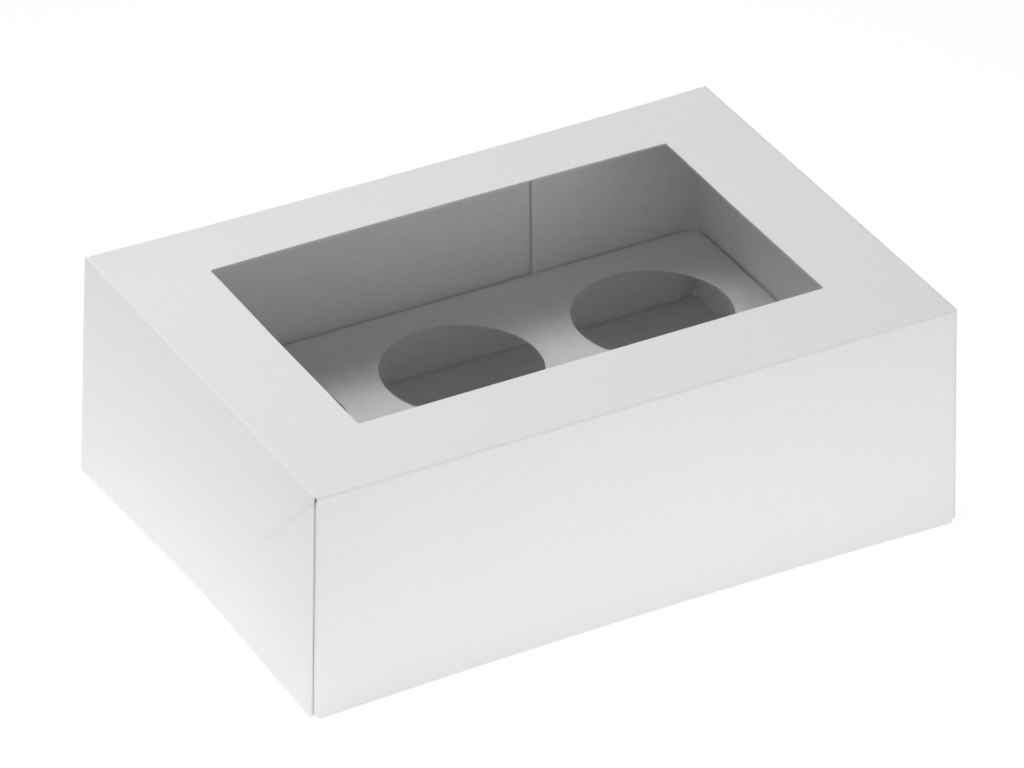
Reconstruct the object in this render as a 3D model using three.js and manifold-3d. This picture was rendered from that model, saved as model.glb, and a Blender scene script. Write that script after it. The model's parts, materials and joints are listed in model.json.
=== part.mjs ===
// A windowed box for six cupcakes, folded from white coated carton board.
//
// The base carton is a tray with four walls and four glued corner tabs. The lid is hinged on the
// top edge of the tray's back wall and drops over the tray to the full height of the box. A clear
// film is glued behind the lid's window, and a folded card with six holes stands in the tray.
//
// Millimetres, +Z up. X runs along the front of the box and Y runs from the front to the back.
// The origin lies on the surface that the box stands on, under the middle of the whole outline.

import * as THREE from 'three';
import { mergeVertices } from 'three/addons/utils/BufferGeometryUtils.js';
import Module from 'manifold-3d';

const wasm = await Module();
wasm.setup();

// Box
const boxLength = 240; // over the lid's top folds, along X
const boxDepth = 165; // from the lid's front fold to the outside of the back wall, along Y
const boxHeight = 85;
const board = 0.5; // thickness of the carton board
const foldRadius = 0.6; // inside radius of a fold
const foldPress = 0.01; // how far each face of a fold is pressed in below the board beside it
const foldTail = 0.15; // how far a fold reaches into the panels beside it
const glueLap = 0.02; // how far glued boards press into each other
const creaseLap = 0.1; // how far flat facets reach past a shallow crease

// Lid
const frontLean = 2.4; // how far the front flap's hem stands out of its fold
const sideLeanFront = 2.3; // how far a side flap stands out at the front corner
const sideLeanCrease = 0.2; // at the foot of the slanting crease
const sideLeanBack = 3.4; // and at the back corner
const hemHeight = 1; // front corners of the lid above the surface
const creaseHemHeight = 2; // the hem at the foot of the slanting crease
const backHemHeight = 1.5; // the hem at the back corner
const creaseRun = 80; // from the front fold back to the foot of the slanting crease
const flapBackGap = 0.4; // a side flap's back edge to the plane of the back wall
const cornerSlit = 0.8; // a side flap's front edge to the corner of the lid
const tipRadius = 1.5; // rounded tips of flaps and tabs
const lidTabLength = 62; // along the hem
const lidTabMargin = 4; // from the slanting crease and from the hem

// Window
const windowLength = 175;
const windowDepth = 104.5;
const windowFrontMargin = 32;
const windowCornerRadius = 1;
const filmThickness = 0.2;
const filmLap = 9; // glued round the window
const filmGlueGap = 0.1;

// Tray
const lidClearance = 0.6; // between the lid's inner faces and the tray
const rimGap = 1.2; // between the lid's top panel and the tray's rim
const hingeGap = 0.65; // between the lid's top panel and the back wall
const trayTabLength = 67; // along the middle of the tab
const trayTabSlant = 1.1; // how much longer a tab is at its top than at its middle
const trayTabFoot = 1.6; // lower edge of a tab above the surface
const trayTabDrop = 2.2; // upper edge of a tab below the rim

// Insert
const insertHeight = 29;
const insertClearance = 0.8; // to the walls and tabs around it
const insertFloorGap = 0.3;
const holeDiameter = 57;
const holePitchX = 75;
const holePitchY = 76;
const holeColumns = 3;
const holeRows = 2;
const flangeNotch = 5; // a flange's ends to the corners of the insert

// Facets
const tipSteps = 6; // along a round tip or a quarter of a window's corner
const holeSteps = 24; // along half of a hole
const foldSteps = 5; // along half of a fold
const sameCorner = 1e-4; // corners of a solid closer than this are one

// Colours
const boardColour = 0xf4f4f2;
const insertColour = 0xf0efeb;
const filmColour = 0xffffff;

// Places that follow from the sizes
const outerRadius = foldRadius + board;
const frontPlane = -boxDepth / 2 + frontLean / 2;
const backPlane = boxDepth / 2 + frontLean / 2;
const lidInside = boxHeight - board;
const trayHalfLength = boxLength / 2 - 2 * board - lidClearance;
const trayFront = frontPlane + board + lidClearance;
const trayRim = lidInside - rimGap;
const insertHalfLength = trayHalfLength - board - insertClearance;
const insertFront = trayFront + 2 * board + insertClearance;
const insertBack = backPlane - 2 * board - insertClearance;

const point = (x, y, z) => new THREE.Vector3(x, y, z);

/** Unit normal of a flat face whose corners go round anticlockwise as seen from outside. */
function faceNormal(corners) {
  const [a, b, c] = corners;
  return b.clone().sub(a).cross(c.clone().sub(a)).normalize();
}

/** How far from the sharp corner line a fold between two faces begins. */
function foldReach(normalA, normalB) {
  return outerRadius * Math.tan(normalA.angleTo(normalB) / 2);
}

/** Moves each edge of a flat, convex, anticlockwise outline inwards by its own distance. */
function drawnIn(outline, distances) {
  const lines = outline.map((start, i) => {
    const end = outline[(i + 1) % outline.length];
    const along = end.clone().sub(start).normalize();
    const inward = new THREE.Vector2(-along.y, along.x);
    return { start: start.clone().addScaledVector(inward, distances[i] ?? 0), along };
  });
  return lines.map((line, i) => {
    const before = lines[(i + lines.length - 1) % lines.length];
    const offset = line.start.clone().sub(before.start);
    const step = offset.cross(line.along) / before.along.cross(line.along);
    return before.start.clone().addScaledVector(before.along, step);
  });
}

/** A closed shape through the outline, with a round tip where a radius is given. */
function tippedShape(outline, radii) {
  const shape = new THREE.Shape();
  outline.forEach((tip, i) => {
    const radius = radii[i] ?? 0;
    const before = outline[(i + outline.length - 1) % outline.length];
    const after = outline[(i + 1) % outline.length];
    const start = tip.clone().add(before.clone().sub(tip).setLength(radius));
    const end = tip.clone().add(after.clone().sub(tip).setLength(radius));
    if (i === 0) shape.moveTo(start.x, start.y);
    else shape.lineTo(start.x, start.y);
    if (radius > 0) shape.quadraticCurveTo(tip.x, tip.y, end.x, end.y);
  });
  shape.closePath();
  return shape;
}

/**
 * A flat panel of board. The corners of its outer face go round anticlockwise as seen from
 * outside. drawIn moves the edge after each corner inwards, tips rounds each corner, and cuts are
 * holes given in millimetres from the first corner, along the first edge and across it. steps is
 * how finely curves are drawn.
 */
function panel(corners, { drawIn = [], tips = [], cuts = [], steps = tipSteps } = {}) {
  const normal = faceNormal(corners);
  const along = corners[1].clone().sub(corners[0]).normalize();
  const across = normal.clone().cross(along);
  const flat = corners.map((corner) => {
    const offset = corner.clone().sub(corners[0]);
    return new THREE.Vector2(offset.dot(along), offset.dot(across));
  });
  const shape = tippedShape(drawnIn(flat, drawIn), tips);
  shape.holes.push(...cuts);
  const plate = new THREE.ExtrudeGeometry(shape, {
    depth: board,
    bevelEnabled: false,
    curveSegments: steps,
  });
  plate.translate(0, 0, -board);
  plate.applyMatrix4(new THREE.Matrix4().makeBasis(along, across, normal).setPosition(corners[0]));
  return plate;
}

/** The round fold between two panels, from start to end on their sharp corner line. */
function fold(start, end, normalA, normalB) {
  const along = normalA.clone().cross(normalB).normalize();
  const turned = along.clone().cross(normalA);
  const angle = normalA.angleTo(normalB);
  const inner = foldRadius + foldPress;
  const outer = outerRadius - foldPress;
  const cos = Math.cos(angle);
  const sin = Math.sin(angle);
  const section = new THREE.Shape();
  section.moveTo(inner, -foldTail);
  section.lineTo(outer, -foldTail);
  section.absarc(0, 0, outer, 0, angle, false);
  section.lineTo(outer * cos - foldTail * sin, outer * sin + foldTail * cos);
  section.lineTo(inner * cos - foldTail * sin, inner * sin + foldTail * cos);
  section.absarc(0, 0, inner, angle, 0, true);
  section.closePath();
  const bend = new THREE.ExtrudeGeometry(section, {
    depth: start.distanceTo(end) - 2 * foldPress,
    bevelEnabled: false,
    curveSegments: foldSteps,
  });
  const base = along.dot(end) > along.dot(start) ? start : end;
  const centre = normalA.clone().add(normalB);
  centre.multiplyScalar(-outerRadius / (1 + normalA.dot(normalB))).add(base);
  centre.addScaledVector(along, foldPress);
  bend.applyMatrix4(new THREE.Matrix4().makeBasis(normalA, turned, along).setPosition(centre));
  return bend;
}

/** The same solid on the other side of the box. */
function mirrored(geometry) {
  const copy = geometry.clone().scale(-1, 1, 1);
  const places = copy.attributes.position;
  for (let i = 0; i < places.count; i += 3) {
    const second = point().fromBufferAttribute(places, i + 1);
    const third = point().fromBufferAttribute(places, i + 2);
    places.setXYZ(i + 1, third.x, third.y, third.z);
    places.setXYZ(i + 2, second.x, second.y, second.z);
  }
  return copy;
}

/** Joins closed geometries into one solid. */
function joined(geometries) {
  const solids = geometries.map((geometry) => {
    const bare = geometry.clone();
    bare.deleteAttribute('normal');
    bare.deleteAttribute('uv');
    const merged = mergeVertices(bare, sameCorner);
    return new wasm.Manifold(
      new wasm.Mesh({
        numProp: 3,
        vertProperties: new Float32Array(merged.attributes.position.array),
        triVerts: new Uint32Array(merged.index.array),
      }),
    );
  });
  const whole = solids.reduce((sum, solid) => sum.add(solid));
  const { vertProperties, triVerts } = whole.getMesh();
  const geometry = new THREE.BufferGeometry();
  geometry.setAttribute('position', new THREE.BufferAttribute(vertProperties, 3));
  geometry.setIndex(new THREE.BufferAttribute(triVerts, 1));
  geometry.computeVertexNormals();
  return geometry;
}

/** A sub-part of the box with its own material. */
function subPart(name, geometry, material) {
  const mesh = new THREE.Mesh(geometry, new THREE.MeshStandardMaterial(material));
  mesh.name = name;
  return mesh;
}

/** The base carton: floor, four walls, and tabs from the side walls glued to the front and back. */
function trayGeometry() {
  const down = point(0, 0, -1);
  const front = point(0, -1, 0);
  const back = point(0, 1, 0);
  const left = point(-1, 0, 0);
  const reach = foldReach(down, front);
  const x = trayHalfLength;
  const backTop = lidInside - hingeGap;

  const frontLeft = point(-x, trayFront, 0);
  const frontRight = point(x, trayFront, 0);
  const backLeft = point(-x, backPlane, 0);
  const backRight = point(x, backPlane, 0);
  const floor = panel([backLeft, backRight, frontRight, frontLeft], {
    drawIn: [reach, reach, reach, reach],
  });
  const frontWall = panel(
    [frontLeft, frontRight, frontRight.clone().setZ(trayRim), frontLeft.clone().setZ(trayRim)],
    { drawIn: [reach], tips: [0, 0, tipRadius, tipRadius] },
  );
  const backWall = panel(
    [backRight, backLeft, backLeft.clone().setZ(backTop), backRight.clone().setZ(backTop)],
    { drawIn: [reach] },
  );
  const foldEnd = x - reach;
  const frontFold = fold(frontLeft.clone().setX(-foldEnd), frontRight.clone().setX(foldEnd), down, front);
  const backFold = fold(backRight.clone().setX(foldEnd), backLeft.clone().setX(-foldEnd), down, back);

  // The side wall and its tabs lie within the front and back walls.
  const tabFront = trayFront + board - glueLap;
  const tabBack = backPlane - board + glueLap;
  const sideBack = point(-x, tabBack, 0);
  const sideFront = point(-x, tabFront, 0);
  const sideWall = panel(
    [sideBack, sideFront, sideFront.clone().setZ(trayRim), sideBack.clone().setZ(trayRim)],
    { drawIn: [reach, reach, 0, reach] },
  );
  const sideFold = fold(
    sideBack.clone().setY(tabBack - reach),
    sideFront.clone().setY(tabFront + reach),
    down,
    left,
  );
  const tabTop = trayRim - trayTabDrop;
  const tabMiddle = (trayTabFoot + tabTop) / 2;
  const tabShort = -x + trayTabLength - trayTabSlant;
  const tabLong = -x + trayTabLength + trayTabSlant;
  const frontTab = panel(
    [
      point(-x, tabFront, trayTabFoot),
      point(tabShort, tabFront, trayTabFoot),
      point(tabLong, tabFront, tabTop),
      point(-x, tabFront, tabTop),
    ],
    { drawIn: [0, 0, 0, reach], tips: [0, tipRadius, tipRadius, 0] },
  );
  const backTab = panel(
    [
      point(-x, tabBack, tabTop),
      point(tabLong, tabBack, tabTop),
      point(tabShort, tabBack, trayTabFoot),
      point(-x, tabBack, trayTabFoot),
    ],
    { drawIn: [0, 0, 0, reach], tips: [0, tipRadius, tipRadius, 0] },
  );
  const frontCorner = fold(point(-x, tabFront, trayTabFoot), point(-x, tabFront, tabTop), left, front);
  const backCorner = fold(point(-x, tabBack, tabTop), point(-x, tabBack, trayTabFoot), left, back);
  const side = [sideWall, sideFold, frontTab, backTab, frontCorner, backCorner];

  return joined([floor, frontWall, backWall, frontFold, backFold, ...side, ...side.map(mirrored)]);
}

/** The window's outline as a hole in the top panel, from the panel's front left corner. */
function windowOutline() {
  const left = (boxLength - windowLength) / 2;
  const right = (boxLength + windowLength) / 2;
  const near = windowFrontMargin;
  const far = windowFrontMargin + windowDepth;
  const radius = windowCornerRadius;
  const outline = new THREE.Path();
  outline.moveTo(left, near + radius);
  outline.absarc(left + radius, far - radius, radius, Math.PI, Math.PI / 2, true);
  outline.absarc(right - radius, far - radius, radius, Math.PI / 2, 0, true);
  outline.absarc(right - radius, near + radius, radius, 0, -Math.PI / 2, true);
  outline.absarc(left + radius, near + radius, radius, -Math.PI / 2, -Math.PI, true);
  return outline;
}

/**
 * The lid: a top panel with a window, a front flap and two side flaps, all to the full height of
 * the box. Tabs at the ends of the front flap fold round the corners and are glued inside the side
 * flaps. A slanting crease, on which the corner collapses flat, draws each side flap inwards.
 */
function lidGeometry() {
  const x = boxLength / 2;
  const otherSide = (corner) => corner.clone().setX(-corner.x);
  const topFront = point(-x, frontPlane, boxHeight);
  const topBack = point(-x, backPlane, boxHeight);
  const hemFront = point(-x - sideLeanFront, frontPlane - frontLean, hemHeight);
  const hemCrease = point(-x - sideLeanCrease, frontPlane + creaseRun, creaseHemHeight);
  const flapBack = point(-x, backPlane - flapBackGap, boxHeight);
  const hemBack = point(-x - sideLeanBack, flapBack.y, backHemHeight);

  const up = point(0, 0, 1);
  const front = faceNormal([topFront, hemFront, otherSide(hemFront)]);
  const corner = faceNormal([topFront, hemCrease, hemFront]);
  const rear = faceNormal([topFront, flapBack, hemBack]);
  const frontReach = foldReach(up, front);
  const sideReach = foldReach(up, rear);
  const cornerReach = foldReach(front, corner);

  const top = panel([topFront, otherSide(topFront), otherSide(topBack), topBack], {
    drawIn: [frontReach, sideReach, 0, sideReach],
    cuts: [windowOutline()],
  });

  // The side flap turns down in three flat facets that fan out from the front corner of the top.
  const belowFold = (foot) => topFront.clone().lerp(foot, sideReach / (boxHeight - foot.z));
  const cornerFacet = panel([belowFold(hemFront), belowFold(hemCrease), hemCrease, hemFront], {
    drawIn: [0, -creaseLap, 0, cornerSlit],
    tips: [0, 0, 0, tipRadius],
  });
  const middleFacet = panel([belowFold(hemCrease), belowFold(hemBack), hemBack, hemCrease], {
    drawIn: [0, -creaseLap, 0, -creaseLap],
  });
  const rearFacet = panel([topFront, flapBack, hemBack], { drawIn: [sideReach, 0, -creaseLap] });
  const sideFold = fold(topFront.clone().setY(frontPlane + cornerSlit), flapBack, rear, up);

  // The front flap and its tabs lie inside the side flaps by the thickness of the board.
  const inset = point((board - glueLap) / -corner.x, 0, 0);
  const seamTop = topFront.clone().add(inset);
  const seamHem = hemFront.clone().add(inset);
  const tabShare = lidTabLength / creaseRun;
  const frontFlap = panel([seamTop, seamHem, otherSide(seamHem), otherSide(seamTop)], {
    drawIn: [cornerReach, 0, cornerReach, frontReach],
    tips: [0, tipRadius, tipRadius, 0],
  });
  const frontFold = fold(
    point(-seamTop.x - cornerReach, seamTop.y, seamTop.z),
    point(seamTop.x + cornerReach, seamTop.y, seamTop.z),
    up,
    front,
  );
  const creaseFoot = hemCrease.clone().add(inset);
  const tabUpper = seamTop.clone().lerp(creaseFoot, tabShare);
  const tabLower = seamHem.clone().lerp(creaseFoot, tabShare);
  const tab = panel([seamTop, tabUpper, tabLower, seamHem], {
    drawIn: [lidTabMargin, 0, lidTabMargin, cornerReach],
    tips: [0, tipRadius, tipRadius, 0],
  });
  const seam = fold(
    seamTop.clone().lerp(seamHem, lidTabMargin / boxHeight),
    seamHem.clone().lerp(seamTop, lidTabMargin / boxHeight),
    front,
    corner,
  );
  const side = [cornerFacet, middleFacet, rearFacet, sideFold, tab, seam];

  return joined([top, frontFlap, frontFold, ...side, ...side.map(mirrored)]);
}

/** The clear film, glued behind the window with a lap all round. */
function filmGeometry() {
  const film = new THREE.BoxGeometry(
    windowLength + 2 * filmLap,
    windowDepth + 2 * filmLap,
    filmThickness,
  );
  return film.translate(
    0,
    frontPlane + windowFrontMargin + windowDepth / 2,
    lidInside - filmGlueGap - filmThickness / 2,
  );
}

/** The insert: a deck with a hole for each cake, on flanges folded down at its four edges. */
function insertGeometry() {
  const x = insertHalfLength;
  const foot = board + insertFloorGap;
  const up = point(0, 0, 1);
  const front = point(0, -1, 0);
  const left = point(-1, 0, 0);
  const reach = foldReach(up, front);
  const middle = (insertFront + insertBack) / 2;

  const holes = [];
  for (let column = 0; column < holeColumns; column += 1) {
    for (let row = 0; row < holeRows; row += 1) {
      const alongX = x + (column - (holeColumns - 1) / 2) * holePitchX;
      const alongY = middle - insertFront + (row - (holeRows - 1) / 2) * holePitchY;
      const hole = new THREE.Path();
      hole.absarc(alongX, alongY, holeDiameter / 2, 0, 2 * Math.PI, true);
      holes.push(hole);
    }
  }
  const deckFront = point(-x, insertFront, insertHeight);
  const deckBack = point(-x, insertBack, insertHeight);
  const deck = panel(
    [deckFront, deckFront.clone().setX(x), deckBack.clone().setX(x), deckBack],
    { drawIn: [reach, reach, reach, reach], cuts: holes, steps: holeSteps },
  );

  const frontStart = point(-x + flangeNotch, insertFront, insertHeight);
  const frontEnd = point(x - flangeNotch, insertFront, insertHeight);
  const frontFlange = panel(
    [frontStart.clone().setZ(foot), frontEnd.clone().setZ(foot), frontEnd, frontStart],
    { drawIn: [0, 0, reach], tips: [tipRadius, tipRadius] },
  );
  const backStart = frontEnd.clone().setY(insertBack);
  const backEnd = frontStart.clone().setY(insertBack);
  const backFlange = panel(
    [backStart.clone().setZ(foot), backEnd.clone().setZ(foot), backEnd, backStart],
    { drawIn: [0, 0, reach], tips: [tipRadius, tipRadius] },
  );
  const sideStart = point(-x, insertBack - flangeNotch, insertHeight);
  const sideEnd = point(-x, insertFront + flangeNotch, insertHeight);
  const sideFlange = panel(
    [sideStart.clone().setZ(foot), sideEnd.clone().setZ(foot), sideEnd, sideStart],
    { drawIn: [0, 0, reach], tips: [tipRadius, tipRadius] },
  );
  const frontFold = fold(frontEnd, frontStart, up, front);
  const backFold = fold(backEnd, backStart, up, front.clone().negate());
  const sideFold = fold(sideEnd, sideStart, left, up);
  const side = [sideFlange, sideFold];

  return joined([deck, frontFlange, backFlange, frontFold, backFold, ...side, ...side.map(mirrored)]);
}

const cupcakeBox = new THREE.Group();
cupcakeBox.add(
  subPart('tray', trayGeometry(), { color: boardColour, roughness: 0.7, metalness: 0 }),
  subPart('insert', insertGeometry(), { color: insertColour, roughness: 0.8, metalness: 0 }),
  subPart('lid', lidGeometry(), { color: boardColour, roughness: 0.7, metalness: 0 }),
  subPart('window_film', filmGeometry(), {
    color: filmColour,
    roughness: 0.05,
    metalness: 0,
    transparent: true,
    opacity: 0.2,
  }),
);

export default cupcakeBox;
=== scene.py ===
"""A white windowed carton for six cupcakes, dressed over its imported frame.

Each board piece is made as the real one is: a flat sheet is cut, its borders are turned round
folds, its free tips are rounded, and only then does it get the thickness of the board.
"""

import json
import logging
import math
from dataclasses import dataclass, field
from enum import Enum

import bmesh
import bpy
from bmesh.types import BMEdge, BMFace, BMVert
from mathutils import Matrix, Vector


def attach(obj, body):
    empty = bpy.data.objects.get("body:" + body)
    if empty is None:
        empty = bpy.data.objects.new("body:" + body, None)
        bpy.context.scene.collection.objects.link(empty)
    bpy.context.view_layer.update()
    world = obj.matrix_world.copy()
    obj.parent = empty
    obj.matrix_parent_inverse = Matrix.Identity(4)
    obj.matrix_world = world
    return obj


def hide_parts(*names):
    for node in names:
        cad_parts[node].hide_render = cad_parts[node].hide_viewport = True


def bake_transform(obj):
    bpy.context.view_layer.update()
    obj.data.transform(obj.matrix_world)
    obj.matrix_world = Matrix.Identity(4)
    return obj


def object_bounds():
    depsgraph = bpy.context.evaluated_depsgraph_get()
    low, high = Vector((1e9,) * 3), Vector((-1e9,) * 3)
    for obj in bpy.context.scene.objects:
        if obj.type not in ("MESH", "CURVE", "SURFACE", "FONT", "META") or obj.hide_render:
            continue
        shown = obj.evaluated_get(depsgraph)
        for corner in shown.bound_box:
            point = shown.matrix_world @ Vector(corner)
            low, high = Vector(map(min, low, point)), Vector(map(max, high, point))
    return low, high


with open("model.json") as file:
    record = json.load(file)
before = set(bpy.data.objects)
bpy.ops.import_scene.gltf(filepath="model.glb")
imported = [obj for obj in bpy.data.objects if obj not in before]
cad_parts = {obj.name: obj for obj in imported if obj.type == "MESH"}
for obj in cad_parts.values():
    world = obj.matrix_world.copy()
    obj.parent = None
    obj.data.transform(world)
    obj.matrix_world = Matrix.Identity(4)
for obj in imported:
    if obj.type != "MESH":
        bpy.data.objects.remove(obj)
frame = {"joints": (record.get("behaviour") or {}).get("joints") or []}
CAD_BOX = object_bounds()

MM = 0.001
RIGHT = Vector((1, 0, 0))
BACK = Vector((0, 1, 0))
UP = Vector((0, 0, 1))
FAR = 1.0  # a metre, beyond every part of the box
NEAR_ENOUGH = 1e-6  # corners this near to a cut lie on it
MERGE = 5e-6  # corners nearer than this are one
ROOM = 2e-5  # allowed to float errors when faces and edges are looked for

log = logging.getLogger("cupcake_box")


def linear(hex_colour: str) -> tuple[float, float, float, float]:
    """Turns an sRGB hex colour into the linear colour that shaders read.

    Args:
        hex_colour: The colour as "#RRGGBB".

    Returns:
        Red, green, blue and an alpha of one.
    """
    parts = [int(hex_colour[i : i + 2], 16) / 255 for i in (1, 3, 5)]
    return (*(c / 12.92 if c <= 0.04045 else ((c + 0.055) / 1.055) ** 2.4 for c in parts), 1.0)


def add_node(
    tree: bpy.types.NodeTree, kind: str, inputs: dict | None = None, **settings
) -> bpy.types.Node:
    """Adds a node with its settings and links.

    Args:
        tree: The node tree to add to.
        kind: The node's type name.
        inputs: Input names or places, each with a value or with the output that feeds it.
        **settings: The node's own properties.

    Returns:
        The new node.
    """
    node = tree.nodes.new(kind)
    for name, value in settings.items():
        setattr(node, name, value)
    for name, value in (inputs or {}).items():
        if isinstance(value, bpy.types.NodeSocket):
            tree.links.new(value, node.inputs[name])
        else:
            node.inputs[name].default_value = value
    return node


def new_material(name: str) -> tuple[bpy.types.Material, bpy.types.NodeTree]:
    """Makes an empty node material.

    Args:
        name: The material's name.

    Returns:
        The material and its node tree.
    """
    material = bpy.data.materials.new(name)
    material.use_nodes = True
    material.node_tree.nodes.clear()
    return material, material.node_tree


@dataclass(frozen=True)
class BoardFace:
    """One face of folding boxboard.

    The fibres clump as the wet sheet forms, which gives faint clouds a few millimetres wide, and
    the surface keeps a fine grain that breaks up its sheen.

    Args:
        name: The finish's plain name.
        light: Colour between the clouds.
        dark: Colour in the clouds.
        cloud_mm: Width of a cloud.
        grain_mm: Width of a grain of the surface.
        grain_height_mm: Height of a grain.
        roughness: Mean roughness.
        roughness_swing: How far the roughness moves either way with the clouds.
        specular: The shader's specular level.
    """

    name: str
    light: str
    dark: str
    cloud_mm: float
    grain_mm: float
    grain_height_mm: float
    roughness: float
    roughness_swing: float
    specular: float

    def material(self) -> bpy.types.Material:
        """Builds the node material.

        Returns:
            The material.
        """
        material, tree = new_material(self.name)
        place = add_node(tree, "ShaderNodeTexCoord").outputs["Object"]
        clouds = add_node(
            tree,
            "ShaderNodeTexNoise",
            {"Vector": place, "Scale": 1 / (self.cloud_mm * MM), "Detail": 3.0, "Roughness": 0.55},
        ).outputs["Fac"]
        spread = add_node(
            tree,
            "ShaderNodeMapRange",
            {"Value": clouds, "From Min": 0.35, "From Max": 0.65},
        ).outputs["Result"]
        colour = add_node(
            tree,
            "ShaderNodeMix",
            {"Factor": spread, "A": linear(self.dark), "B": linear(self.light)},
            data_type="RGBA",
        )
        rough = add_node(
            tree,
            "ShaderNodeMapRange",
            {
                "Value": spread,
                "To Min": self.roughness + self.roughness_swing,
                "To Max": self.roughness - self.roughness_swing,
            },
        ).outputs["Result"]
        grain = add_node(
            tree,
            "ShaderNodeTexNoise",
            {"Vector": place, "Scale": 1 / (self.grain_mm * MM), "Detail": 2.0, "Roughness": 0.6},
        ).outputs["Fac"]
        bump = add_node(
            tree,
            "ShaderNodeBump",
            {"Height": grain, "Strength": 1.0, "Distance": self.grain_height_mm * MM},
        ).outputs["Normal"]
        shader = add_node(
            tree,
            "ShaderNodeBsdfPrincipled",
            {
                "Base Color": mix_colour(colour),
                "Roughness": rough,
                "Normal": bump,
                "Specular IOR Level": self.specular,
                "IOR": 1.5,
            },
        )
        add_node(tree, "ShaderNodeOutputMaterial", {"Surface": shader.outputs["BSDF"]})
        return material


def mix_colour(mix: bpy.types.Node) -> bpy.types.NodeSocket:
    """Gives a colour mix node's colour output, which shares its name with other outputs."""
    return next(output for output in mix.outputs if output.type == "RGBA")


@dataclass(frozen=True)
class CutEdge:
    """The cut edge of boxboard, where knife and rule leave the layers of pulp open.

    Args:
        name: The finish's plain name.
        light: Colour of the bleached outer layers.
        dark: Colour of the middle layers.
        fibre_mm: Length of a fibre clump.
        fibre_height_mm: How far the clumps stand out.
        roughness: The open pulp's roughness.
    """

    name: str
    light: str
    dark: str
    fibre_mm: float
    fibre_height_mm: float
    roughness: float

    def material(self) -> bpy.types.Material:
        """Builds the node material.

        Returns:
            The material.
        """
        material, tree = new_material(self.name)
        place = add_node(tree, "ShaderNodeTexCoord").outputs["Object"]
        fibres = add_node(
            tree,
            "ShaderNodeTexNoise",
            {"Vector": place, "Scale": 1 / (self.fibre_mm * MM), "Detail": 4.0, "Roughness": 0.7},
        ).outputs["Fac"]
        colour = add_node(
            tree,
            "ShaderNodeMix",
            {"Factor": fibres, "A": linear(self.dark), "B": linear(self.light)},
            data_type="RGBA",
        )
        bump = add_node(
            tree,
            "ShaderNodeBump",
            {"Height": fibres, "Strength": 1.0, "Distance": self.fibre_height_mm * MM},
        ).outputs["Normal"]
        shader = add_node(
            tree,
            "ShaderNodeBsdfPrincipled",
            {
                "Base Color": mix_colour(colour),
                "Roughness": self.roughness,
                "Normal": bump,
                "Specular IOR Level": 0.3,
            },
        )
        add_node(tree, "ShaderNodeOutputMaterial", {"Surface": shader.outputs["BSDF"]})
        return material


@dataclass(frozen=True)
class ClearFilm:
    """Clear polyester film, drawn and wound, with a slight pull left in it.

    It mirrors the room faintly and lets light through unbent.

    Args:
        name: The finish's plain name.
        tint: Colour of what shows through.
        roughness: Roughness of its gloss.
        ripple_mm: Width of a ripple.
        ripple_height_mm: Height of a ripple.
    """

    name: str
    tint: str
    roughness: float
    ripple_mm: float
    ripple_height_mm: float

    def material(self) -> bpy.types.Material:
        """Builds the node material.

        Returns:
            The material.
        """
        material, tree = new_material(self.name)
        place = add_node(tree, "ShaderNodeTexCoord").outputs["Object"]
        ripple = add_node(
            tree,
            "ShaderNodeTexNoise",
            {"Vector": place, "Scale": 1 / (self.ripple_mm * MM), "Detail": 1.0},
        ).outputs["Fac"]
        bump = add_node(
            tree,
            "ShaderNodeBump",
            {"Height": ripple, "Strength": 1.0, "Distance": self.ripple_height_mm * MM},
        ).outputs["Normal"]
        film = add_node(
            tree,
            "ShaderNodeBsdfPrincipled",
            {
                "Base Color": linear(self.tint),
                "Roughness": self.roughness,
                "Transmission Weight": 1.0,
                "IOR": 1.45,
                "Normal": bump,
            },
        )
        lamps = add_node(tree, "ShaderNodeBsdfTransparent", {"Color": linear(self.tint)})
        rays = add_node(tree, "ShaderNodeLightPath")
        both = add_node(
            tree,
            "ShaderNodeMath",
            {0: rays.outputs["Is Shadow Ray"], 1: rays.outputs["Is Diffuse Ray"]},
            operation="MAXIMUM",
        )
        mixed = add_node(
            tree,
            "ShaderNodeMixShader",
            {0: both.outputs[0], 1: film.outputs["BSDF"], 2: lamps.outputs["BSDF"]},
        )
        add_node(tree, "ShaderNodeOutputMaterial", {"Surface": mixed.outputs["Shader"]})
        return material


class Finish(Enum):
    """The box's finishes."""

    # Clay-coated face: a smooth, even white with a faint sheen and almost no fibre.
    COATED = BoardFace(
        name="clay_coated_white_board",
        light="#F1F2F2",
        dark="#F0F1F1",
        cloud_mm=4.0,
        grain_mm=0.35,
        grain_height_mm=0.0015,
        roughness=0.42,
        roughness_swing=0.02,
        specular=0.4,
    )
    # Bare reverse: a duller white, with clouds and a grain that show close up.
    REVERSE = BoardFace(
        name="uncoated_board_reverse",
        light="#F0F0F0",
        dark="#EBEBEA",
        cloud_mm=3.0,
        grain_mm=0.5,
        grain_height_mm=0.012,
        roughness=0.8,
        roughness_swing=0.04,
        specular=0.25,
    )
    # Insert card: bare on both faces and a little warmer and greyer.
    CARD = BoardFace(
        name="uncoated_insert_card",
        light="#F0F0EF",
        dark="#EAEAE9",
        cloud_mm=3.0,
        grain_mm=0.5,
        grain_height_mm=0.012,
        roughness=0.85,
        roughness_swing=0.04,
        specular=0.25,
    )
    # Cut edge: a thin, warm and rough line along every border.
    EDGE = CutEdge(
        name="cut_board_edge",
        light="#F3F1EC",
        dark="#E2DED4",
        fibre_mm=0.6,
        fibre_height_mm=0.03,
        roughness=0.9,
    )
    # Film: clear, with long low ripples that only show in its gloss.
    FILM = ClearFilm(
        name="clear_polyester_film",
        tint="#FAFBFB",
        roughness=0.03,
        ripple_mm=60.0,
        ripple_height_mm=0.05,
    )

    def material(self) -> bpy.types.Material:
        """Gives the finish's material, made on first use."""
        return bpy.data.materials.get(self.value.name) or self.value.material()


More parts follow.
